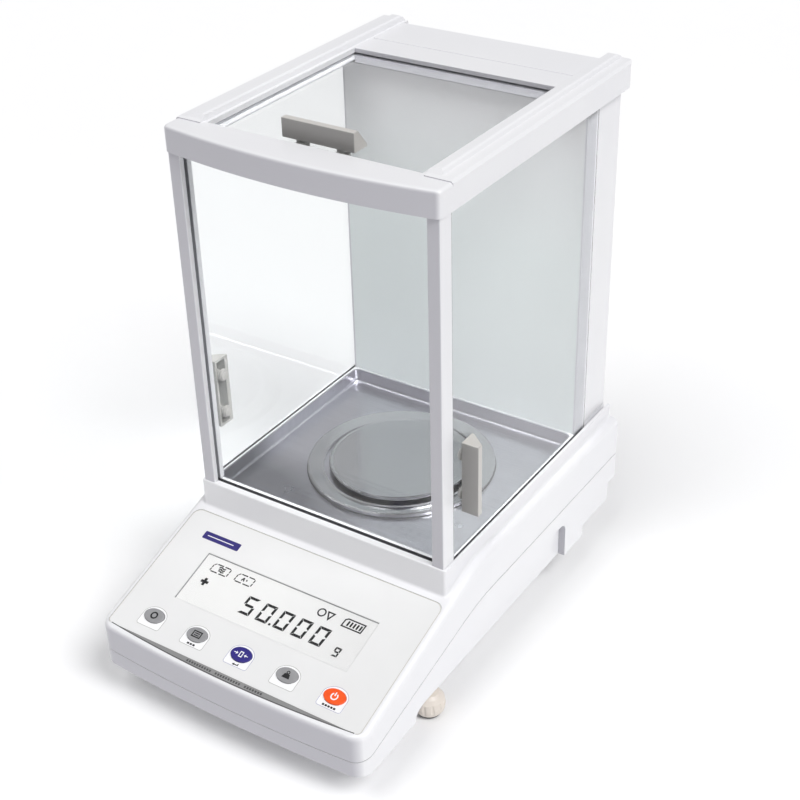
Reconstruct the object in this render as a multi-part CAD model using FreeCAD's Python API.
"""Analytical balance with a draft-proof glass weighing chamber.

Frame: millimetres, +X to the operator's right, +Y to the back, +Z up.
The origin is on the bench, under the centre of the balance.
The pieces are drawn about the case's own middle and moved by MIDDLE_Y as they are written.
Each piece is a closed solid, or a group of solids, in its own STEP file.
"""
import FreeCAD, Part
import math
import os
from FreeCAD import Placement, Rotation, Vector

# ---- Driving dimensions ---------------------------------------------------------------

# Base case: a tray below and a moulded top case above, parted by a sloping seam.
CASE_HALF = 102.5
CASE_FRONT = -159.6
CASE_REAR = 167.0
CASE_BOW = 3.6
CASE_CORNER_R = 11.0
CASE_RIM_R = 4.4
CASE_BOTTOM = 28.0
CHIN_BOTTOM = 25.8
CHIN_REAR = -118.0
CHIN_R = 2.0
WALL = 2.5
SHOULDER_Z = 100.0
SHOULDER_Y = -26.0
CONSOLE_TILT = 17.7
SEAM_Z = 70.5
SEAM_Y = -28.0
SEAM_TILT = 13.6
SEAM_GAP = 0.5
GRIP_DEPTH = 5.0
GRIP_TOP = 57.0
GRIP_TILT = 15.2

# Plinth that carries the chamber, and the well in it for the steel floor.
PLINTH_HALF = 95.5
PLINTH_FRONT = -56.7
PLINTH_TOP = 110.0
WELL_HALF = 89.4
WELL_FRONT = -45.5
WELL_REAR = 117.6
WELL_FLOOR = 99.0
TRACK_DEPTH = 4.2

# Chamber: two front columns, a top frame and a housing at the back.
CAP_HALF = 94.8
CAP_BOTTOM = 343.8
CAP_TOP = 360.0
CAP_FRONT = -56.8
CAP_BOW = 8.2
RAIL_FRONT = -44.0
RAIL_REAR = 174.0
RAIL_INNER = 73.8
COLUMN_WIDTH = 8.6
COLUMN_DEPTH = 11.6
COLUMN_FRONT = -55.7
COLUMN_OUTER = 93.6
HOUSING_HALF = 90.4
HOUSING_FRONT = 118.2
HOUSING_REAR = 169.0
CROSSBAR_FRONT = 109.6
COVER_SPLIT = 132.0

LEVEL_R = 5.2
LEVEL_Y = 161.9

# Glass panes.
DOOR_INNER = 90.8
DOOR_GLASS = 2.5
DOOR_REAR = 131.2
TOP_GLASS_HALF = 77.2
TOP_GLASS_Z = 353.0
TOP_GLASS = 3.5
TOP_GLASS_REAR = 131.0
FRONT_GLASS_Y = -52.0
FRONT_GLASS = 4.0

# Door handles: a hollow wedge, flat at the front and sloped at the back.
HANDLE_LENGTH = 50.0
HANDLE_REACH = 11.6
HANDLE_DEPTH = 12.6
HANDLE_LIP = 4.4
HANDLE_FRONT = -34.0
HANDLE_MID_Z = 165.5
BOSS_SPACING = 28.0

# Weighing pan.
PAN_Y = 40.5
PAN_R = 48.4
PAN_TOP = 105.6
RING_R = 63.2
RING_INNER_R = 52.0
STEM_R = 5.0
PIN_R = 3.0

# Control console, measured in its own tilted plane from the overlay's upper edge.
OVERLAY_HALF = 97.8
OVERLAY_LENGTH = 99.2
OVERLAY_EDGE_Y = -61.5
OVERLAY_DROP = 0.8
OVERLAY_THICK = 0.6
OVERLAY_CORNER_R = 6.0
OVERLAY_FOOT_R = 3.0
WINDOW_HALF = 67.2
WINDOW_TOP = -27.8
WINDOW_BOTTOM = -66.2
STRIP_HALF = 95.5
STRIP_BOW = 4.3
KEY_ROW = -83.5
KEY_PITCH = 35.1
KEY_HALF = 7.6
KEY_HALF_SLOPE = 5.1
KEY_TOP = 0.8
KEY_GAP = 0.2
KEY_NAMES = ("key_off", "key_print", "key_tare", "key_calibrate", "key_on")

# Feet.
FOOT_X = 88.0
FOOT_Y = -66.0
WHEEL_R = 10.6
WHEEL_LOBES = 12
STUD_R = 3.0
RUNNING_GAP = 0.06
REAR_FOOT_X = 72.0
REAR_FOOT_Y = 138.0

# Force cell, along the centre line under the pan.
CELL_BASE_Z = 34.0
CELL_BASE_THICK = 5.0
MAGNET_Y = 98.0
MAGNET_R = 23.0

# Boards and sockets.
BOARD_THICK = 1.6
INLET_X = -55.0
FUSE_X = -12.0
SERIAL_X = 38.0
SOCKET_Z = 49.0
FUSE_KNOB = 7.0

# Middle of the whole balance from front to back.
MIDDLE_Y = (CASE_FRONT - CASE_BOW + CASE_REAR + FUSE_KNOB) / 2

X_AXIS = Vector(1, 0, 0)
Y_AXIS = Vector(0, 1, 0)
Z_AXIS = Vector(0, 0, 1)


# ---- Small geometry helpers -----------------------------------------------------------

def box(x0, x1, y0, y1, z0, z1):
    """Block between two corners."""
    return Part.makeBox(x1 - x0, y1 - y0, z1 - z0, Vector(x0, y0, z0))


def rod(radius, length, base, axis=Z_AXIS):
    """Cylinder from its base point along an axis."""
    return Part.makeCylinder(radius, length, Vector(*base), axis)


def lathe(points, x, y):
    """Body of revolution from (radius, height) points about a vertical axis."""
    wire = Part.makePolygon([Vector(r, 0, z) for r, z in points + points[:1]])
    body = Part.Face(wire).revolve(Vector(0, 0, 0), Z_AXIS, 360)
    body.translate(Vector(x, y, 0))
    return body


def extrude_yz(points, x0, x1):
    """Prism along X from (y, z) points."""
    wire = Part.makePolygon([Vector(x0, y, z) for y, z in points + points[:1]])
    return Part.Face(wire).extrude(Vector(x1 - x0, 0, 0))


def extrude_xz(points, y0, y1):
    """Prism along Y from (x, z) points."""
    wire = Part.makePolygon([Vector(x, y0, z) for x, z in points + points[:1]])
    return Part.Face(wire).extrude(Vector(0, y1 - y0, 0))


def extrude_xy(points, z0, z1):
    """Prism along Z from (x, y) points."""
    wire = Part.makePolygon([Vector(x, y, z0) for x, y in points + points[:1]])
    return Part.Face(wire).extrude(Vector(0, 0, z1 - z0))


def join(shapes):
    """One solid from touching or overlapping shapes."""
    body = shapes[0]
    for other in shapes[1:]:
        body = body.fuse(other)
    return body.removeSplitter()


def carve(body, tools):
    """Body with every tool cut away."""
    return body.cut(Part.makeCompound(tools))


def round_edges(body, radius, chosen):
    """Fillet the edges for which chosen(edge) is true."""
    return body.makeFillet(radius, [edge for edge in body.Edges if chosen(edge)])


def upright(edge):
    """True for a straight vertical edge."""
    bounds = edge.BoundBox
    return bounds.XLength < 0.01 and bounds.YLength < 0.01 and bounds.ZLength > 0.3


def mirrored(body):
    """Copy of a body on the other side of the centre plane."""
    return body.mirror(Vector(0, 0, 0), X_AXIS)


def on_console(body):
    """Place a body drawn in the console's own plane: y up the slope, z out of it."""
    edge_z = SHOULDER_Z + math.tan(math.radians(CONSOLE_TILT)) * (OVERLAY_EDGE_Y - SHOULDER_Y)
    console = Placement(Vector(0, OVERLAY_EDGE_Y, edge_z), Rotation(X_AXIS, CONSOLE_TILT))
    placed = body.copy()
    placed.Placement = console.multiply(body.Placement)
    return placed


# ---- Base case ------------------------------------------------------------------------

def below_line(rear_z, bend_y, tilt, bend_r, floor_z=0.0):
    """Prism under a line that is level at the back and falls forward of a rounded bend."""
    reach = bend_r * math.tan(math.radians(tilt) / 2)
    slope = math.tan(math.radians(tilt))
    front_y = CASE_FRONT - 30
    rear_y = CASE_REAR + 30
    x0 = -CASE_HALF - 30
    bend_in = Vector(x0, bend_y - reach * math.cos(math.radians(tilt)),
                     rear_z - reach * math.sin(math.radians(tilt)))
    bend_out = Vector(x0, bend_y + reach, rear_z)
    half = math.radians(tilt) / 2
    bend_mid = Vector(x0, bend_out.y - bend_r * math.sin(half),
                      rear_z - bend_r * (1 - math.cos(half)))
    corners = [Vector(x0, front_y, floor_z), Vector(x0, front_y, rear_z + slope * (front_y - bend_y)),
               bend_in, bend_out, Vector(x0, rear_y, rear_z), Vector(x0, rear_y, floor_z)]
    edges = [Part.makeLine(corners[0], corners[1]), Part.makeLine(corners[1], bend_in),
             Part.Arc(bend_in, bend_mid, bend_out).toShape(), Part.makeLine(bend_out, corners[4]),
             Part.makeLine(corners[4], corners[5]), Part.makeLine(corners[5], corners[0])]
    return Part.Face(Part.Wire(edges)).extrude(Vector(-2 * x0, 0, 0))


def case_plan(inset, z0, z1):
    """Upright prism of the case's outline, bowed at the front, inset all round."""
    half = CASE_HALF - inset
    front = CASE_FRONT + inset
    rear = CASE_REAR - inset
    left_front = Vector(-half, front, z0)
    right_front = Vector(half, front, z0)
    left_rear = Vector(-half, rear, z0)
    right_rear = Vector(half, rear, z0)
    bow = Part.Arc(left_front, Vector(0, front - CASE_BOW, z0), right_front).toShape()
    edges = [bow, Part.makeLine(right_front, right_rear), Part.makeLine(right_rear, left_rear),
             Part.makeLine(left_rear, left_front)]
    prism = Part.Face(Part.Wire(edges)).extrude(Vector(0, 0, z1 - z0))
    return round_edges(prism, CASE_CORNER_R - inset, lambda e: upright(e) and e.BoundBox.YMax < 0)


def console_block(inset):
    """The case's whole outline under the console slope and the level shoulder."""
    slope = below_line(SHOULDER_Z - inset, SHOULDER_Y, CONSOLE_TILT, 60.0)
    return case_plan(inset, 0.0, SHOULDER_Z + 5).common(slope)


def seam_block(offset):
    """Everything under the seam, raised or lowered by an offset."""
    return below_line(SEAM_Z + offset, SEAM_Y, SEAM_TILT, 120.0, -10.0)


def top_rim(edge):
    """True for the outer top edges of the console block: sides, corners and bowed front."""
    bounds = edge.BoundBox
    across = bounds.XLength > CASE_HALF and bounds.YLength < 1
    return bounds.ZMin > 30 and not across and bounds.YMin < CASE_REAR - 1


def plinth_block():
    """Raised block around the chamber floor and under the rear housing."""
    block = box(-PLINTH_HALF, PLINTH_HALF, PLINTH_FRONT, CASE_REAR, 80.0, PLINTH_TOP)
    block = round_edges(block, 2.0, lambda e: upright(e) and e.BoundBox.YMax < 0)
    return round_edges(block, 0.8, lambda e: e.BoundBox.ZMin > PLINTH_TOP - 0.01
                       and e.BoundBox.YMin < CASE_REAR - 1)


def screw_posts(z0, z1, radius):
    """Four upright posts or holes at the case's screw places."""
    places = [(-84.0, -118.0), (84.0, -118.0), (-84.0, 80.0), (84.0, 80.0)]
    return [rod(radius, z1 - z0, (x, y, z0)) for x, y in places]


def chamber_cuts():
    """Well for the steel floor, door tracks, front glass groove and the housing's hollow."""
    well = box(-WELL_HALF, WELL_HALF, WELL_FRONT, WELL_REAR, WELL_FLOOR, PLINTH_TOP + 5)
    well = round_edges(well, 5.0, upright)
    track_z = PLINTH_TOP - TRACK_DEPTH
    tracks = [box(s * 90.6 if s > 0 else -93.6, s * 93.6 if s > 0 else -90.6,
                  RAIL_FRONT, CASE_REAR + 5, track_z, PLINTH_TOP + 5) for s in (-1, 1)]
    groove = box(-88.2, 88.2, FRONT_GLASS_Y - 0.2, FRONT_GLASS_Y + FRONT_GLASS + 0.2,
                 PLINTH_TOP - 5.0, PLINTH_TOP + 5)
    hollow = box(-86.0, 86.0, 121.5, 163.5, 80.0, PLINTH_TOP - 2.5)
    cable_hole = rod(9.0, 12.0, (-40.0, 143.0, PLINTH_TOP - 8))
    pan_hole = rod(15.0, 20.0, (0, PAN_Y, WELL_FLOOR - 10))
    return [well, groove, hollow, cable_hole, pan_hole] + tracks


def console_cuts():
    """Recesses and openings in the console slope, drawn in the console's plane."""
    overlay = overlay_outline(OVERLAY_HALF + 0.15, 0.15, -OVERLAY_DROP, 5.0)
    strip = strip_outline(0.15, -OVERLAY_DROP, 5.0)
    window = box(-WINDOW_HALF + 2, WINDOW_HALF - 2, WINDOW_BOTTOM + 2, WINDOW_TOP - 2, -8.0, 2.0)
    cuts = [overlay, strip, window]
    cuts += [key_prism(x, KEY_GAP, -8.0, 2.0) for x in key_places()]
    return [on_console(cut) for cut in cuts]


def make_top_case():
    """Moulded upper case: console slope, shoulders and plinth in one shell."""
    outer = round_edges(console_block(0.0), CASE_RIM_R, top_rim)
    outer = outer.fuse(plinth_block()).removeSplitter()
    outer = round_edges(outer, 1.8, plinth_foot)
    hollow = console_block(WALL).common(case_plan(WALL, 0.0, SHOULDER_Z - 3.5))
    shell = carve(outer, [hollow, seam_block(SEAM_GAP / 2)])
    posts = [post.common(console_block(WALL / 2)) for post in screw_posts(36.0, 99.0, 4.0)]
    posts = [post.cut(seam_block(-8.0)) for post in posts]
    shell = join([shell] + posts)
    return carve(shell, chamber_cuts() + console_cuts() + screw_posts(20.0, 60.0, 1.6))


def plinth_foot(edge):
    """True for the concave edges where the plinth rises out of the case."""
    bounds = edge.BoundBox
    on_side = abs(abs(bounds.Center.x) - PLINTH_HALF) < 0.6 and bounds.XLength < 1.3
    on_front = abs(bounds.Center.y - PLINTH_FRONT) < 0.6 and bounds.YLength < 0.5
    along_front = on_front and bounds.XLength > PLINTH_HALF
    low = bounds.ZMax < SHOULDER_Z + 0.5 and bounds.ZMin > 85
    return low and (on_side or along_front) and bounds.DiagonalLength > 0.5


def grip_cut(y0, y1, top_shift):
    """Long recess along one lower side, following the seam, with rounded ends."""
    band = below_line(GRIP_TOP + top_shift, SEAM_Y + 8, GRIP_TILT, 120.0, -10.0)
    cut = band.common(box(CASE_HALF - GRIP_DEPTH, CASE_HALF + 20, y0, y1, -10.0, 80.0))

    def upper_corner(edge):
        bounds = edge.BoundBox
        across = abs(bounds.XLength - GRIP_DEPTH - 20) < 0.01 and bounds.YLength < 0.01
        at_end = min(abs(bounds.YMin - y0), abs(bounds.YMin - y1)) < 0.01
        return across and at_end and bounds.ZMin > 20

    return round_edges(cut, 7.0, upper_corner)


def chin_edge(edge):
    """True for the outer edges under the chin, but not for its straight back edge."""
    bounds = edge.BoundBox
    return bounds.ZMax < CHIN_BOTTOM + 0.01 and bounds.YMin < CHIN_REAR - 1


def make_base_tray():
    """Lower tray with side grips, a chin at the front and socket openings at the back."""
    outer = case_plan(0.0, CASE_BOTTOM, SEAM_Z + 5)
    chin = case_plan(0.0, CHIN_BOTTOM, SEAM_Z).common(box(-150, 150, -200, CHIN_REAR, 0, 60))
    outer = round_edges(join([outer, chin]), CHIN_R, chin_edge).common(seam_block(-SEAM_GAP / 2))
    grips = [grip_cut(-104.0, 90.0, 0.0), grip_cut(117.0, 180.0, -6.5)]
    grips += [mirrored(grip) for grip in grips]
    outer = carve(outer, grips)
    wide = case_plan(WALL, GRIP_TOP + 2, SEAM_Z + 10)
    front_room = case_plan(WALL + 3, CASE_BOTTOM + WALL, SEAM_Z + 10)
    front_room = front_room.common(box(-150, 150, -200, -106, 0, 90))
    narrow = box(-CASE_HALF + GRIP_DEPTH + WALL, CASE_HALF - GRIP_DEPTH - WALL,
                 -107.0, CASE_REAR - WALL, CASE_BOTTOM + WALL, SEAM_Z + 10)
    tray = carve(outer, [wide, front_room, narrow])
    feet = [rod(7.0, 14.0, (s * FOOT_X, FOOT_Y, CASE_BOTTOM)) for s in (-1, 1)]
    posts = screw_posts(CASE_BOTTOM + 1, 36.0, 4.6)
    cell_posts = [rod(4.0, CELL_BASE_Z - CASE_BOTTOM - 1, (x, y, CASE_BOTTOM + 1))
                  for x in (-32.0, 32.0) for y in (8.0, 120.0)]
    tray = join([tray] + feet + posts + cell_posts)
    stud_holes = [rod(STUD_R + RUNNING_GAP, 30.0, (s * FOOT_X, FOOT_Y, 20.0)) for s in (-1, 1)]
    screw_holes = screw_posts(20.0, 40.0, 1.8) + screw_posts(20.0, CASE_BOTTOM + 2.2, 3.4)
    return carve(tray, stud_holes + screw_holes + socket_cuts())


def socket_cuts():
    """Openings in the tray's back wall."""
    y0 = CASE_REAR - 2 * WALL
    return [box(INLET_X - 14.2, INLET_X + 14.2, y0, CASE_REAR + 5, SOCKET_Z - 10.2, SOCKET_Z + 10.2),
            rod(6.6, 12.0, (FUSE_X, y0, SOCKET_Z), Y_AXIS),
            box(SERIAL_X - 9.5, SERIAL_X + 9.5, y0, CASE_REAR + 5, SOCKET_Z - 5.2, SOCKET_Z + 5.2)]


def make_case_screws():
    """Four pan-head screws that pull the tray up against the top case."""
    heads = screw_posts(CASE_BOTTOM + 0.2, CASE_BOTTOM + 2.2, 3.2)
    shafts = screw_posts(CASE_BOTTOM + 2.2, 56.0, 1.5)
    return Part.makeCompound([head.fuse(shaft) for head, shaft in zip(heads, shafts)])


# ---- Console --------------------------------------------------------------------------

def key_places():
    """X places of the five keys."""
    return [KEY_PITCH * (index - 2) for index in range(5)]


def key_prism(x, grow, z0, z1):
    """Oval prism at a key's place, drawn in the console's plane."""
    oval = Part.Ellipse(Vector(x, KEY_ROW, z0), KEY_HALF + grow, KEY_HALF_SLOPE + grow)
    return Part.Face(Part.Wire(oval.toShape())).extrude(Vector(0, 0, z1 - z0))


def overlay_outline(half, grow, z0, z1):
    """Flat sheet of the console overlay, with wider rounded corners at the top."""
    sheet = box(-half, half, -OVERLAY_LENGTH - grow, grow, z0, z1)
    sheet = round_edges(sheet, OVERLAY_CORNER_R, lambda e: upright(e) and e.BoundBox.YMax > -10)
    return round_edges(sheet, OVERLAY_FOOT_R, lambda e: upright(e) and e.BoundBox.YMax < -90)


def strip_outline(grow, z0, z1):
    """Thin crescent along the overlay's lower edge."""
    y = -OVERLAY_LENGTH - 0.1 + grow
    left = Vector(-STRIP_HALF - 8 * grow, y, z0)
    right = Vector(STRIP_HALF + 8 * grow, y, z0)
    bow = Part.Arc(left, Vector(0, y - STRIP_BOW - 2 * grow, z0), right).toShape()
    return Part.Face(Part.Wire([bow, Part.makeLine(right, left)])).extrude(Vector(0, 0, z1 - z0))


def make_overlay():
    """Thin sheet over the slope, open at the display and at each key."""
    sheet = overlay_outline(OVERLAY_HALF, 0.0, -OVERLAY_DROP, OVERLAY_THICK - OVERLAY_DROP)
    window = box(-WINDOW_HALF, WINDOW_HALF, WINDOW_BOTTOM, WINDOW_TOP, -2.0, 2.0)
    holes = [key_prism(x, KEY_GAP, -2.0, 2.0) for x in key_places()]
    return on_console(carve(sheet, [window] + holes))


def make_window():
    """Clear pane in the overlay."""
    pane = box(-WINDOW_HALF + 0.1, WINDOW_HALF - 0.1, WINDOW_BOTTOM + 0.1, WINDOW_TOP - 0.1,
               -OVERLAY_DROP, OVERLAY_THICK - OVERLAY_DROP)
    return on_console(pane)


def make_info_strip():
    """Grey crescent strip."""
    return on_console(strip_outline(0.0, -OVERLAY_DROP, OVERLAY_THICK - OVERLAY_DROP))


def make_lcd():
    """Display glass in its frame, just under the window."""
    inset = 2.3
    frame = box(-WINDOW_HALF + inset, WINDOW_HALF - inset, WINDOW_BOTTOM + inset, WINDOW_TOP - inset,
                -5.8, -1.2)
    return on_console(frame)


def make_display_board():
    """Circuit board under the display and the keys."""
    board = box(-78.0, 78.0, KEY_ROW - 8, WINDOW_TOP + 3, -5.9 - BOARD_THICK, -5.9)
    return on_console(board)


def make_key_switches():
    """Five tactile switches on the board, one under each key."""
    return [on_console(box(x - 3, x + 3, KEY_ROW - 3, KEY_ROW + 3, -5.85, -4.6)) for x in key_places()]


def make_key(x):
    """Oval key cap with a rounded upper edge and a stem that reaches its switch."""
    cap = key_prism(x, 0.0, -2.4, KEY_TOP)
    cap = round_edges(cap, 0.45, lambda e: e.BoundBox.ZMin > KEY_TOP - 0.01)
    return on_console(join([cap, rod(2.0, 1.5, (x, KEY_ROW, -3.8))]))


# ---- Chamber floor and pan ------------------------------------------------------------

def make_chamber_floor():
    """Stainless tray that lines the well, with upturned edges and a hole for the pan stem."""
    gap = 0.2
    outer = box(-WELL_HALF + gap, WELL_HALF - gap, WELL_FRONT + gap, WELL_REAR - gap,
                WELL_FLOOR + 0.05, PLINTH_TOP - 0.1)
    outer = round_edges(outer, 4.8, upright)
    thick = 1.0
    inner = box(-WELL_HALF + gap + thick, WELL_HALF - gap - thick, WELL_FRONT + gap + thick,
                WELL_REAR - gap - thick, WELL_FLOOR + 0.05 + thick, PLINTH_TOP + 5)
    inner = round_edges(inner, 3.8, upright)
    inner = round_edges(inner, 2.0, lambda e: e.BoundBox.ZMax < WELL_FLOOR + 2)
    return carve(outer, [inner, rod(14.0, 10.0, (0, PAN_Y, WELL_FLOOR - 3))])


def make_draft_ring():
    """Loose steel ring around the pan."""
    z = WELL_FLOOR + 1.1
    profile = [(RING_INNER_R, z), (RING_R, z), (RING_R, z + 2.6), (RING_R - 1.2, z + 3.2),
               (RING_R - 2.6, z + 2.9), (RING_INNER_R + 1.4, z + 1.6), (RING_INNER_R, z + 1.9)]
    return lathe(profile, 0, PAN_Y)


def make_pan():
    """Flat steel pan with a turned-down rim and a socket for its stem."""
    top = PAN_TOP
    profile = [(0, top - 1.0), (STEM_R + 0.05, top - 1.0), (STEM_R + 0.05, top - 4.0),
               (STEM_R + 2.2, top - 4.0), (STEM_R + 2.2, top - 1.2), (PAN_R - 1.8, top - 1.2),
               (PAN_R - 1.4, top - 2.4), (PAN_R - 0.6, top - 2.4), (PAN_R, top - 1.2),
               (PAN_R - 0.3, top - 0.3), (PAN_R - 1.4, top + 0.1), (PAN_R - 2.6, top - 0.2),
               (0, top - 0.2)]
    return lathe(profile, 0, PAN_Y)


def make_pan_support():
    """Stem that carries the pan on the force cell's pin."""
    top = PAN_TOP - 1.05
    bore = PIN_R + RUNNING_GAP
    profile = [(bore, top - 12.0), (STEM_R + 3.0, top - 12.0), (STEM_R + 3.0, top - 9.0),
               (STEM_R, top - 6.0), (STEM_R, top), (0, top), (0, top - 5.0), (bore, top - 5.0)]
    return lathe(profile, 0, PAN_Y)


# ---- Chamber frame --------------------------------------------------------------------

def make_right_column():
    """Front corner column, grooved for the fixed front glass."""
    x1 = COLUMN_OUTER
    x0 = x1 - COLUMN_WIDTH
    body = box(x0, x1, COLUMN_FRONT, COLUMN_FRONT + COLUMN_DEPTH, PLINTH_TOP, CAP_BOTTOM)
    body = round_edges(body, 0.9, lambda e: upright(e) and e.BoundBox.YMax < COLUMN_FRONT + 1)
    groove = box(x0 - 5, x0 + 3.2, FRONT_GLASS_Y - 0.2, FRONT_GLASS_Y + FRONT_GLASS + 0.2,
                 PLINTH_TOP - 5, CAP_BOTTOM + 5)
    return body.cut(groove)


def make_front_glass():
    """Fixed front pane, held in the plinth, the columns and the front beam."""
    half = COLUMN_OUTER - COLUMN_WIDTH + 3.0
    return box(-half, half, FRONT_GLASS_Y, FRONT_GLASS_Y + FRONT_GLASS,
               PLINTH_TOP - 4.8, CAP_BOTTOM + 3.8)


def make_front_beam():
    """Front beam of the top frame, bowed forward, with grooves for two panes."""
    tongue_y = RAIL_FRONT + 3.2
    outline = [(CAP_HALF, CAP_FRONT), (CAP_HALF, RAIL_FRONT), (RAIL_INNER, RAIL_FRONT),
               (RAIL_INNER, tongue_y), (-RAIL_INNER, tongue_y),
               (-RAIL_INNER, RAIL_FRONT), (-CAP_HALF, RAIL_FRONT), (-CAP_HALF, CAP_FRONT)]
    corners = [Vector(x, y, CAP_BOTTOM) for x, y in outline]
    bow = Part.Arc(corners[-1], Vector(0, CAP_FRONT - CAP_BOW, CAP_BOTTOM), corners[0]).toShape()
    wire = Part.Wire([bow] + Part.makePolygon(corners).Edges)
    body = Part.Face(wire).extrude(Vector(0, 0, CAP_TOP - CAP_BOTTOM))
    body = round_edges(body, 4.0, lambda e: upright(e) and e.BoundBox.YMax < CAP_FRONT + 1)
    body = round_edges(body, 2.4, lambda e: e.BoundBox.ZMin > CAP_TOP - 0.01
                       and e.BoundBox.YMin < RAIL_FRONT - 1)
    front_groove = box(-88.2, 88.2, FRONT_GLASS_Y - 0.2, FRONT_GLASS_Y + FRONT_GLASS + 0.2,
                       CAP_BOTTOM - 5, CAP_BOTTOM + 4.2)
    top_groove = box(-TOP_GLASS_HALF - 0.4, TOP_GLASS_HALF + 0.4, RAIL_FRONT - 2.2, RAIL_FRONT + 10,
                     TOP_GLASS_Z - 0.3, TOP_GLASS_Z + TOP_GLASS + 0.3)
    hollow = box(-RAIL_INNER, RAIL_INNER, FRONT_GLASS_Y + FRONT_GLASS + 2, RAIL_FRONT + 10,
                 CAP_BOTTOM - 5, TOP_GLASS_Z - 2.5)
    return carve(body, [front_groove, top_groove, hollow])


def make_right_rail():
    """Side rail of the top frame, ridged on top, with tracks for the top and side panes."""
    slot_low = TOP_GLASS_Z - 0.3
    slot_high = TOP_GLASS_Z + TOP_GLASS + 0.3
    slot_wall = TOP_GLASS_HALF + 0.4
    section = [(RAIL_INNER, slot_low - 2.4), (RAIL_INNER, slot_low), (slot_wall, slot_low),
               (slot_wall, slot_high), (RAIL_INNER, slot_high), (RAIL_INNER, CAP_TOP),
               (76.4, CAP_TOP), (77.4, CAP_TOP + 3.0), (78.6, CAP_TOP + 3.9), (84.2, CAP_TOP + 3.9),
               (85.4, CAP_TOP + 3.2), (86.6, CAP_TOP + 1.4), (93.2, CAP_TOP + 1.2),
               (CAP_HALF, CAP_TOP - 0.4),
               (CAP_HALF, CAP_BOTTOM), (93.7, CAP_BOTTOM), (93.7, CAP_BOTTOM + 3.6),
               (90.4, CAP_BOTTOM + 3.6), (90.4, CAP_BOTTOM), (83.0, CAP_BOTTOM), (83.0, slot_low - 2.4)]
    body = extrude_xz(section, RAIL_FRONT, RAIL_REAR)
    nose = extrude_yz([(RAIL_REAR - 5, CAP_TOP + 6), (RAIL_REAR - 4, CAP_TOP + 3.9),
                       (RAIL_REAR - 1.5, CAP_TOP + 2.6), (RAIL_REAR - 0.4, CAP_TOP + 0.6),
                       (RAIL_REAR, CAP_TOP - 2), (RAIL_REAR + 5, CAP_TOP - 2),
                       (RAIL_REAR + 5, CAP_TOP + 6)], 60.0, 100.0)
    corner = extrude_xy([(CAP_HALF + 3, RAIL_REAR - 5), (CAP_HALF, RAIL_REAR - 5),
                         (CAP_HALF - 0.9, RAIL_REAR - 2), (CAP_HALF - 3, RAIL_REAR),
                         (CAP_HALF - 3, RAIL_REAR + 3), (CAP_HALF + 3, RAIL_REAR + 3)],
                        CAP_BOTTOM - 5, CAP_TOP + 8)
    ramp = extrude_yz([(RAIL_FRONT - 1, CAP_TOP + 0.2), (RAIL_FRONT + 2.5, CAP_TOP + 1.5),
                       (RAIL_FRONT + 6, CAP_TOP + 4.2), (RAIL_FRONT - 1, CAP_TOP + 8)], 60.0, 100.0)
    return carve(body, [nose, corner, ramp])


def make_rear_header():
    """Bridge under the top pane, between the rails, at the back of the chamber."""
    front_lip = box(-RAIL_INNER, RAIL_INNER, CROSSBAR_FRONT, 122.0, 348.0, TOP_GLASS_Z - 0.3)
    bed = box(-RAIL_INNER, RAIL_INNER, HOUSING_FRONT + 0.2, HOUSING_REAR - 0.5,
              CAP_BOTTOM + 0.05, TOP_GLASS_Z - 0.3)
    hollow = box(-RAIL_INNER + 3, RAIL_INNER - 3, 124.0, HOUSING_REAR - 3.5,
                 CAP_BOTTOM - 2, TOP_GLASS_Z - 3)
    return join([front_lip, bed]).cut(hollow)


def cover_plate(y0, y1):
    """Plate over the top pane's slot."""
    z0 = TOP_GLASS_Z + TOP_GLASS + 0.5
    plate = box(-RAIL_INNER + 0.1, RAIL_INNER - 0.1, y0, y1, z0, CAP_TOP)
    return round_edges(plate, 0.7, lambda e: e.BoundBox.ZMin > CAP_TOP - 0.01
                       and e.BoundBox.XLength > 50)


def make_rear_housing():
    """Box behind the chamber, open at the front behind the grey panel."""
    outer = box(-HOUSING_HALF, HOUSING_HALF, HOUSING_FRONT, HOUSING_REAR,
                PLINTH_TOP + 0.1, CAP_BOTTOM - 0.1)
    outer = round_edges(outer, 3.0, lambda e: upright(e) and e.BoundBox.YMin > HOUSING_REAR - 1)
    room = box(-HOUSING_HALF + 2.4, HOUSING_HALF - 2.4, HOUSING_FRONT - 5, HOUSING_REAR - 2.4,
               PLINTH_TOP + 2.5, CAP_BOTTOM - 2.6)
    rebate = box(-HOUSING_HALF + 1.1, HOUSING_HALF - 1.1, HOUSING_FRONT - 5, HOUSING_FRONT + 2.6,
                 PLINTH_TOP - 5, CAP_BOTTOM + 5)
    niche = box(-15.0, 15.0, HOUSING_REAR - 14, HOUSING_REAR + 5, PLINTH_TOP + 8, PLINTH_TOP + 28)
    niche_wall = box(-17.0, 17.0, HOUSING_REAR - 16, HOUSING_REAR - 1, PLINTH_TOP + 0.2, PLINTH_TOP + 30)
    shell = join([carve(outer, [room, rebate]), niche_wall])
    screw_holes = [rod(1.7, 8.0, (x, HOUSING_REAR - 6, z), Y_AXIS) for x, z in housing_screw_places()]
    return carve(shell, [niche] + screw_holes)


def housing_screw_places():
    """X and Z of the screws in the housing's back."""
    return [(x, z) for x in (-78.0, 78.0) for z in (PLINTH_TOP + 14.0, CAP_BOTTOM - 14.0)]


def make_housing_screws():
    """Screws in the back of the housing."""
    screws = []
    for x, z in housing_screw_places():
        head = rod(3.2, 1.6, (x, HOUSING_REAR + 0.05, z), Y_AXIS)
        shaft = rod(1.6, 8.0, (x, HOUSING_REAR - 7.9, z), Y_AXIS)
        screws.append(head.fuse(shaft))
    return Part.makeCompound(screws)


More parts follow.
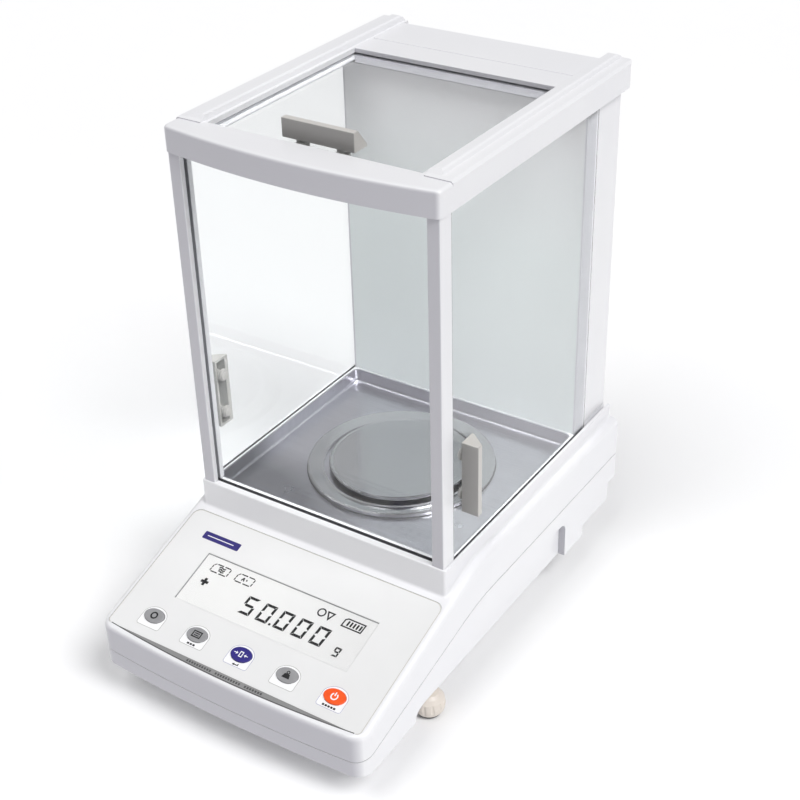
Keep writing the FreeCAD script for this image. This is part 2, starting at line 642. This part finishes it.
def make_rear_panel():
    """Flat grey panel that closes the back of the chamber."""
    half = HOUSING_HALF - 1.2
    return box(-half, half, HOUSING_FRONT + 0.1, HOUSING_FRONT + 2.5, PLINTH_TOP + 0.2, CAP_BOTTOM - 0.1)


def make_level_vial():
    """Round spirit level on the shelf of the housing's niche."""
    return rod(LEVEL_R, 5.0, (0, LEVEL_Y, PLINTH_TOP + 9.2))


def make_level_bezel():
    """Collar that holds the spirit level."""
    z = PLINTH_TOP + 8.05
    bore = LEVEL_R + 0.05
    rim = LEVEL_R + 1.5
    profile = [(0, z), (rim, z), (rim, z + 5.4), (bore, z + 6.2), (bore, z + 1.1), (0, z + 1.1)]
    return lathe(profile, 0, LEVEL_Y)


# ---- Sliding doors --------------------------------------------------------------------

def boss_offsets():
    """Places of the two mounting bosses along a handle."""
    return (-BOSS_SPACING / 2, BOSS_SPACING / 2)


def handle_body():
    """Hollow wedge in its own frame: length along X, flat front at y 0, height along Z."""
    section = [(0, 0), (0, HANDLE_REACH), (HANDLE_LIP, HANDLE_REACH), (HANDLE_DEPTH, 1.4),
               (HANDLE_DEPTH, 0)]
    half = HANDLE_LENGTH / 2
    body = extrude_yz(section, -half, half)
    body = round_edges(body, 0.5, lambda e: e.BoundBox.ZMax > 1.0)
    wall = 1.6
    hollow_section = [(wall, -1), (wall, HANDLE_REACH - wall), (HANDLE_LIP - 0.8, HANDLE_REACH - wall),
                      (HANDLE_DEPTH - 2.6, -1)]
    hollow = extrude_yz(hollow_section, -half + wall, half - wall)
    bosses = [rod(2.6, HANDLE_REACH - 4, (x, HANDLE_LIP, 0)) for x in boss_offsets()]
    return join([body.cut(hollow)] + bosses)


def clip_bodies():
    """Two domed nuts on the inner face of the glass, in the handle's frame."""
    profile = [(0, -0.1), (4.2, -0.1), (4.2, -1.6), (3.0, -2.6), (0, -2.9)]
    return [lathe(profile, x, HANDLE_LIP) for x in boss_offsets()]


def side_place(body, glass):
    """Turn a handle piece from its own frame onto the right door's outer face."""
    turned = body.copy()
    face = Placement(Vector(DOOR_INNER + DOOR_GLASS + 0.05 - glass, HANDLE_FRONT, HANDLE_MID_Z),
                     Rotation(Vector(0, 0, -1), Vector(0, 1, 0), Vector(1, 0, 0), "ZXY"))
    turned.Placement = face.multiply(body.Placement)
    return turned


def make_right_door_glass():
    """Right-hand sliding pane."""
    pane = box(DOOR_INNER, DOOR_INNER + DOOR_GLASS, RAIL_FRONT + 0.3, DOOR_REAR,
               PLINTH_TOP - TRACK_DEPTH + 0.3, CAP_BOTTOM + 3.2)
    return round_edges(pane, 0.4, lambda e: e.BoundBox.ZLength > 50)


def make_top_door_glass():
    """Top sliding pane."""
    return box(-TOP_GLASS_HALF, TOP_GLASS_HALF, RAIL_FRONT - 1.8, TOP_GLASS_REAR,
               TOP_GLASS_Z, TOP_GLASS_Z + TOP_GLASS)


def top_place(body, rise):
    """Put a handle piece on the top pane."""
    placed = body.copy()
    placed.translate(Vector(0, HANDLE_FRONT, TOP_GLASS_Z + TOP_GLASS + rise))
    return placed


def make_top_handle():
    """Handle of the top pane, standing on two short feet."""
    body = top_place(handle_body(), 2.2)
    z = TOP_GLASS_Z + TOP_GLASS + 0.05
    feet = [rod(3.4, 3.0, (x, HANDLE_FRONT + HANDLE_LIP, z)) for x in boss_offsets()]
    return join([body] + feet)


# ---- Force cell -----------------------------------------------------------------------

def make_cell_base():
    """Aluminium plate that carries the whole force cell."""
    plate = box(-38.0, 38.0, 0.0, 128.0, CELL_BASE_Z, CELL_BASE_Z + CELL_BASE_THICK)
    return round_edges(plate, 6.0, upright)


def make_cell_pillar():
    """Fixed upright between the parallel guides."""
    z0 = CELL_BASE_Z + CELL_BASE_THICK
    return box(-14.0, 14.0, 62.0, 71.0, z0, 86.0)


def make_guides():
    """Upper and lower parallel guides, thinned at both ends to bend there."""
    guides = []
    for z in (46.0, 86.1):
        bar = box(-14.0, 14.0, 33.0, 71.0, z, z + 3.0)
        flexures = [rod(1.1, 40.0, (-20.0, y, z + side), X_AXIS)
                    for y in (50.0, 59.0) for side in (0.0, 3.0)]
        guides.append(carve(bar, flexures))
    guides[0] = guides[0].cut(box(-20, 20, 61.9, 72.0, 40.0, 60.0))
    return Part.makeCompound(guides)


def make_hanger():
    """Moving block under the pan, with the pin that the pan's stem sits on."""
    block = box(-12.0, 12.0, 33.5, 47.5, 49.1, 86.0)
    pin = rod(PIN_R, 10.0, (0, PAN_Y, 89.2))
    foot = rod(PIN_R + 1.5, 0.9, (0, PAN_Y, 89.15))
    return Part.makeCompound([block, pin.fuse(foot)])


def make_lever():
    """Lever beam from the hanger to the coil."""
    beam = box(-5.0, 5.0, 72.0, 112.0, 72.0, 78.0)
    cheek = box(5.0, 9.0, 72.0, 80.0, 70.0, 80.0)
    return join([mirrored(cheek), beam, cheek])


def make_coil():
    """Moving coil hanging from the lever into the magnet's gap."""
    ring = rod(14.0, 10.0, (0, MAGNET_Y, 61.0)).cut(rod(12.4, 12.0, (0, MAGNET_Y, 60.0)))
    cap = rod(14.0, 0.95, (0, MAGNET_Y, 71.0))
    return join([ring, cap])


def make_magnet():
    """Cylindrical magnet pot with a ring gap."""
    z0 = CELL_BASE_Z + CELL_BASE_THICK + 0.05
    pot = rod(MAGNET_R, 29.0, (0, MAGNET_Y, z0))
    gap = rod(15.4, 20.0, (0, MAGNET_Y, z0 + 12)).cut(rod(11.2, 22.0, (0, MAGNET_Y, z0 + 11)))
    return pot.cut(gap)


# ---- Electronics ----------------------------------------------------------------------

def make_main_board():
    """Main circuit board in the front of the tray."""
    board = box(-70.0, 70.0, -98.0, -22.0, 40.0, 40.0 + BOARD_THICK)
    holes = [rod(1.6, 10.0, (x, y, 36.0)) for x in (-65.0, 65.0) for y in (-93.0, -27.0)]
    return carve(board, holes)


def make_board_parts():
    """Chips, capacitors and connectors on the main board."""
    z = 40.05 + BOARD_THICK
    chips = [box(x, x + 12, y, y + 12, z, z + 2) for x in (-50.0, -20.0, 10.0) for y in (-80.0, -50.0)]
    cans = [rod(4.0, 9.0, (x, -38.0, z)) for x in (35.0, 46.0, 57.0)]
    header = box(28.0, 62.0, -92.0, -86.0, z, z + 7)
    return Part.makeCompound(chips + cans + [header])


def make_board_posts():
    """Stand-offs between the tray and the main board."""
    height = 40.0 - CASE_BOTTOM - WALL - 0.1
    posts = [rod(3.0, height, (x, y, CASE_BOTTOM + WALL + 0.05))
             for x in (-65.0, 65.0) for y in (-93.0, -27.0)]
    return Part.makeCompound(posts)


def make_transformer_core():
    """Laminated core around the winding."""
    z0 = CASE_BOTTOM + WALL + 0.05
    core = box(-88.0, -52.0, 92.0, 122.0, z0 + 2, z0 + 32)
    window = box(-81.0, -59.0, 91.0, 123.0, z0 + 9, z0 + 25)
    limb = box(-75.0, -65.0, 92.0, 122.0, z0 + 9, z0 + 25)
    feet = [box(x, x + 6, 94.0, 120.0, z0, z0 + 2) for x in (-88.0, -58.0)]
    return join([core.cut(window), limb] + feet)


def make_transformer_winding():
    """Copper winding on the core's middle limb."""
    z0 = CASE_BOTTOM + WALL + 0.05
    outer = box(-80.8, -59.2, 86.0, 128.0, z0 + 9.3, z0 + 24.7)
    limb = box(-75.2, -64.8, 91.8, 122.2, z0 + 8, z0 + 26)
    return outer.cut(limb)


def make_power_inlet():
    """Mains inlet socket in the back wall, with its flange outside."""
    y = CASE_REAR + 0.05
    flange = box(INLET_X - 24, INLET_X + 24, y, y + 2.0, SOCKET_Z - 13, SOCKET_Z + 13)
    flange = round_edges(flange, 2.5, lambda e: e.BoundBox.YLength > 1.5 and e.BoundBox.XLength < 0.1)
    barrel = box(INLET_X - 14, INLET_X + 14, y - 22, y + 0.5, SOCKET_Z - 10, SOCKET_Z + 10)
    room = box(INLET_X - 12, INLET_X + 12, y - 19, y + 5, SOCKET_Z - 8, SOCKET_Z + 8)
    holes = [rod(1.7, 8.0, (INLET_X + s * 20, y - 3, SOCKET_Z), Y_AXIS) for s in (-1, 1)]
    return carve(join([flange, barrel]), [room] + holes)


def make_inlet_pins():
    """Three flat contacts in the inlet."""
    y = CASE_REAR - 19
    places = [(INLET_X - 7.0, SOCKET_Z - 1.0), (INLET_X, SOCKET_Z + 3.5), (INLET_X + 7.0, SOCKET_Z - 1.0)]
    return [box(x - 1.0, x + 1.0, y + 0.1, y + 15, z - 2, z + 2) for x, z in places]


def make_fuse_holder():
    """Round fuse carrier in the back wall."""
    y = CASE_REAR + 0.05
    cap = rod(8.0, 3.0, (FUSE_X, y, SOCKET_Z), Y_AXIS)
    knob = rod(5.6, FUSE_KNOB, (FUSE_X, y, SOCKET_Z), Y_AXIS)
    barrel = rod(6.4, 26.0, (FUSE_X, y - 26, SOCKET_Z), Y_AXIS)
    slot = box(FUSE_X - 4, FUSE_X + 4, y + 6.0, y + 8.0, SOCKET_Z - 0.6, SOCKET_Z + 0.6)
    return join([cap, knob, barrel]).cut(slot)


def make_serial_port():
    """Nine-pin data socket in the back wall."""
    y = CASE_REAR + 0.05
    plate = box(SERIAL_X - 15.5, SERIAL_X + 15.5, y, y + 1.0, SOCKET_Z - 6.2, SOCKET_Z + 6.2)
    high = SOCKET_Z + 4.0
    low = SOCKET_Z - 4.0
    shell = extrude_xz([(SERIAL_X - 8.4, high), (SERIAL_X + 8.4, high),
                        (SERIAL_X + 7.2, low), (SERIAL_X - 7.2, low)], y - 9, y + 5.6)
    pitch = 2.75
    places = [(SERIAL_X - 5.5 + pitch * i, SOCKET_Z + 1.4) for i in range(5)]
    places += [(SERIAL_X - 4.1 + pitch * i, SOCKET_Z - 1.4) for i in range(4)]
    holes = [rod(0.55, 6.0, (x, y + 1, z), Y_AXIS) for x, z in places]
    posts = [rod(2.4, 5.0, (SERIAL_X + s * 12.2, y + 0.5, SOCKET_Z), Y_AXIS) for s in (-1, 1)]
    return join([carve(join([plate, shell]), holes)] + posts)


# ---- Feet -----------------------------------------------------------------------------

def make_foot_pad(side):
    """Small pad that the levelling screw turns in."""
    profile = [(0, 0), (7.2, 0), (7.6, 0.4), (7.6, 1.6), (4.6, 1.6), (4.6, 2.6), (0, 2.6)]
    return lathe(profile, side * FOOT_X, FOOT_Y)


def make_foot_wheel(side):
    """Scalloped thumb wheel with a hollow underside for the pad."""
    z = 1.9
    profile = [(4.9, z), (WHEEL_R - 2.2, z), (WHEEL_R - 0.5, z + 2.4), (WHEEL_R, z + 6.5),
               (WHEEL_R - 0.6, z + 10.5), (WHEEL_R - 2.6, z + 13.4), (6.0, z + 15.0),
               (STUD_R, z + 15.0), (STUD_R, z + 1.0), (4.9, z + 1.0)]
    wheel = lathe(profile, side * FOOT_X, FOOT_Y)
    flutes = []
    for lobe in range(WHEEL_LOBES):
        angle = 2 * math.pi * (lobe + 0.5) / WHEEL_LOBES
        x = side * FOOT_X + (WHEEL_R + 0.7) * math.cos(angle)
        y = FOOT_Y + (WHEEL_R + 0.7) * math.sin(angle)
        flutes.append(rod(1.5, 20.0, (x, y, z - 1)))
    return carve(wheel, flutes)


def make_foot_stud(side):
    """Threaded stud of a levelling foot, shown plain."""
    return rod(STUD_R - 0.02, 36.0, (side * FOOT_X, FOOT_Y, 2.95))


def make_rear_feet():
    """Two fixed rubber feet under the back."""
    profile = [(0, 0), (7.5, 0), (8.6, 1.0), (9.6, CASE_BOTTOM - 0.05), (0, CASE_BOTTOM - 0.05)]
    return Part.makeCompound([lathe(profile, s * REAR_FOOT_X, REAR_FOOT_Y) for s in (-1, 1)])


# ---- All pieces -----------------------------------------------------------------------

def side_door(pieces):
    """Glass, handle and clips of both side doors."""
    handle = side_place(handle_body(), 0.0)
    clips = Part.makeCompound([side_place(nut, DOOR_GLASS + 0.05) for nut in clip_bodies()])
    glass = make_right_door_glass()
    for name, shape in (("door_glass", glass), ("door_handle", handle), ("door_clips", clips)):
        pieces["right_" + name] = shape
        pieces["left_" + name] = mirrored(shape)


def feet(pieces):
    """Levelling feet at the front and fixed feet at the back."""
    for side, name in ((-1, "left"), (1, "right")):
        pieces["foot_pad_" + name] = make_foot_pad(side)
        pieces["foot_screw_" + name] = Part.makeCompound([make_foot_wheel(side), make_foot_stud(side)])
    pieces["rear_feet"] = make_rear_feet()


def chamber(pieces):
    """Fixed frame, panes and covers of the chamber."""
    pieces["chamber_floor"] = make_chamber_floor()
    pieces["draft_ring"] = make_draft_ring()
    pieces["weighing_pan"] = make_pan()
    pieces["pan_support"] = make_pan_support()
    column = make_right_column()
    rail = make_right_rail()
    pieces["front_column_right"] = column
    pieces["front_column_left"] = mirrored(column)
    pieces["top_rail_right"] = rail
    pieces["top_rail_left"] = mirrored(rail)
    pieces["front_glass"] = make_front_glass()
    pieces["front_beam"] = make_front_beam()
    pieces["rear_header"] = make_rear_header()
    pieces["rear_crossbar"] = cover_plate(CROSSBAR_FRONT, COVER_SPLIT)
    pieces["rear_cover"] = cover_plate(COVER_SPLIT + 0.4, HOUSING_REAR - 0.5)
    pieces["rear_housing"] = make_rear_housing()
    pieces["rear_panel"] = make_rear_panel()
    pieces["housing_screws"] = make_housing_screws()
    pieces["level_vial"] = make_level_vial()
    pieces["level_bezel"] = make_level_bezel()
    pieces["top_door_glass"] = make_top_door_glass()
    pieces["top_door_handle"] = make_top_handle()
    pieces["top_door_clips"] = Part.makeCompound([top_place(nut, -TOP_GLASS) for nut in clip_bodies()])


def case_and_console(pieces):
    """Tray, top case, console pieces and keys."""
    pieces["base_tray"] = make_base_tray()
    pieces["top_case"] = make_top_case()
    pieces["case_screws"] = make_case_screws()
    pieces["control_overlay"] = make_overlay()
    pieces["display_window"] = make_window()
    pieces["info_strip"] = make_info_strip()
    pieces["lcd_module"] = make_lcd()
    pieces["display_board"] = Part.makeCompound([make_display_board()] + make_key_switches())
    for name, x in zip(KEY_NAMES, key_places()):
        pieces[name] = make_key(x)


def works(pieces):
    """Force cell, boards and sockets."""
    pieces["cell_base_plate"] = make_cell_base()
    pieces["cell_pillar"] = make_cell_pillar()
    pieces["parallel_guides"] = make_guides()
    pieces["pan_hanger"] = make_hanger()
    pieces["lever_beam"] = make_lever()
    pieces["moving_coil"] = make_coil()
    pieces["magnet_pot"] = make_magnet()
    pieces["main_board"] = make_main_board()
    pieces["board_parts"] = make_board_parts()
    pieces["board_posts"] = make_board_posts()
    pieces["transformer_core"] = make_transformer_core()
    pieces["transformer_winding"] = make_transformer_winding()
    pieces["power_inlet"] = Part.makeCompound([make_power_inlet()] + make_inlet_pins())
    pieces["fuse_holder"] = make_fuse_holder()
    pieces["serial_port"] = make_serial_port()


def main():
    """Build every piece and write one STEP file for each."""
    os.makedirs("parts", exist_ok=True)
    pieces = {}
    case_and_console(pieces)
    chamber(pieces)
    side_door(pieces)
    works(pieces)
    feet(pieces)
    for name, shape in pieces.items():
        if not shape.isValid():
            print("not valid:", name)
        shape.translate(Vector(0, -MIDDLE_Y, 0))
        shape.exportStep("parts/" + name + ".step")
    print(len(pieces), "pieces")


main()
